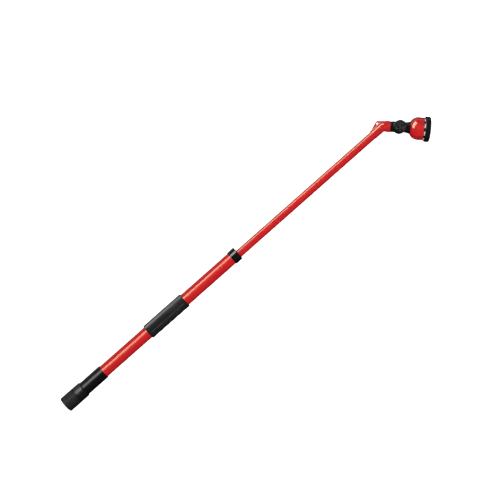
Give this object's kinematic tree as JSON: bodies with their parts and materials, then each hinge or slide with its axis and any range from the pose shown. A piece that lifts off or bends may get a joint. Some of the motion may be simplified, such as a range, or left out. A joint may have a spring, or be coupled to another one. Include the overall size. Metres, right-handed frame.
{
  "type": "watering wand",
  "caption": "Telescoping garden watering wand: red tubes, black twist valve, soft grip, lock collar, and a pivoting head with a turning spray dial.",
  "frame": {"origin": "centre of the hose coupling's open end, on the outer tube's axis", "axes": "+X along the wand to the head, -Y the way the head bends, +Z the face of the pivot hub; the wand lies down"},
  "size_m": [1.0325, 0.1135, 0.0564],
  "materials": {
    "nut_black": "matte",
    "black_plastic": "satin",
    "gloss_black": "gloss",
    "red_paint": "gloss",
    "red_plastic": "gloss",
    "grip_foam": "matte",
    "hub_grey": "matte",
    "mark_grey": "satin",
    "seal_rubber": "matte",
    "plated_steel": "satin",
    "spring_steel": "satin",
    "bone_plastic": "satin",
    "ceramic": "satin"
  },
  "bodies": {
    "handle": {"inlet_spigot": "black_plastic", "hose_washer": "seal_rubber", "inlet_screen": "plated_steel", "spigot_oring": "seal_rubber", "valve_body": "black_plastic", "valve_seat": "ceramic", "seat_gasket": "seal_rubber", "valve_orings": "seal_rubber", "tube_oring": "seal_rubber", "handle_pins": "plated_steel", "handle_sleeve": "gloss_black", "outer_tube": "red_paint", "grip": "grip_foam", "guide_bush": "black_plastic"},
    "coupling_nut": {"swivel_nut": "nut_black"},
    "valve": {"valve_ring": "gloss_black", "valve_disc": "ceramic"},
    "collar": {"lock_collar": "gloss_black"},
    "shoe": {"brake_shoe": "black_plastic"},
    "slider": {"inner_tube": "red_paint", "tail_piston": "black_plastic", "piston_orings": "seal_rubber", "elbow": "red_plastic", "socket_oring": "seal_rubber", "clevis": "gloss_black", "clevis_oring": "seal_rubber", "hub_plate": "hub_grey", "button_spring": "spring_steel"},
    "button": {"pivot_button": "hub_grey"},
    "head": {"nozzle_neck": "gloss_black", "pivot_oring": "seal_rubber", "cone_spring": "spring_steel", "bell": "red_plastic", "flow_core": "bone_plastic", "core_oring": "seal_rubber", "core_screws": "plated_steel", "port_seal": "seal_rubber", "seal_spring": "spring_steel", "detent_ball": "plated_steel", "detent_spring": "spring_steel", "dial_screw": "plated_steel", "screw_washer": "plated_steel"},
    "clutch": {"brake_cone": "bone_plastic"},
    "dial": {"dial_body": "black_plastic", "dial_rim": "black_plastic", "face_plate": "black_plastic", "index_pads": "mark_grey", "screw_cap": "hub_grey"}
  },
  "joints": [
    {"name": "nut_spin", "type": "hinge", "parent": "handle", "child": "coupling_nut", "pos_m": [0.02, 0, 0], "axis": [1, 0, 0], "continuous": true},
    {"name": "valve_turn", "type": "hinge", "parent": "handle", "child": "valve", "pos_m": [0.045, 0, 0], "axis": [1, 0, 0], "range_deg": [0, 90]},
    {"name": "collar_turn", "type": "hinge", "parent": "handle", "child": "collar", "pos_m": [0.502, 0, 0], "axis": [1, 0, 0], "range_deg": [0, 60]},
    {"name": "shoe_slide", "type": "slide", "parent": "handle", "child": "shoe", "axis": [0, 1, 0], "range_m": [0, 0.00025]},
    {"name": "wand_slide", "type": "slide", "parent": "handle", "child": "slider", "axis": [1, 0, 0], "range_m": [-0.388, 0]},
    {"name": "head_pivot", "type": "hinge", "parent": "slider", "child": "head", "pos_m": [0.96715, -0.02833, 0], "axis": [0, 0, 1], "range_deg": [-70, 75]},
    {"name": "button_press", "type": "slide", "parent": "slider", "child": "button", "axis": [0, 0, 1], "range_m": [-0.0018, 0], "stiffness_N_per_m": 1500, "springref_m": 0.002, "deforming": ["button_spring"]},
    {"name": "clutch_slide", "type": "slide", "parent": "head", "child": "clutch", "axis": [0, 0, 1], "range_m": [-0.0018, 0], "deforming": ["cone_spring"]},
    {"name": "dial_spin", "type": "hinge", "parent": "head", "child": "dial", "pos_m": [1.00501, -0.06823, 0], "axis": [0.6884, -0.7254, 0], "continuous": true}
  ],
  "couplings": [
    {"joint": "shoe_slide", "follows": "collar_turn", "m_per_rad": 0.00023},
    {"joint": "clutch_slide", "follows": "button_press", "ratio": 1}
  ]
}
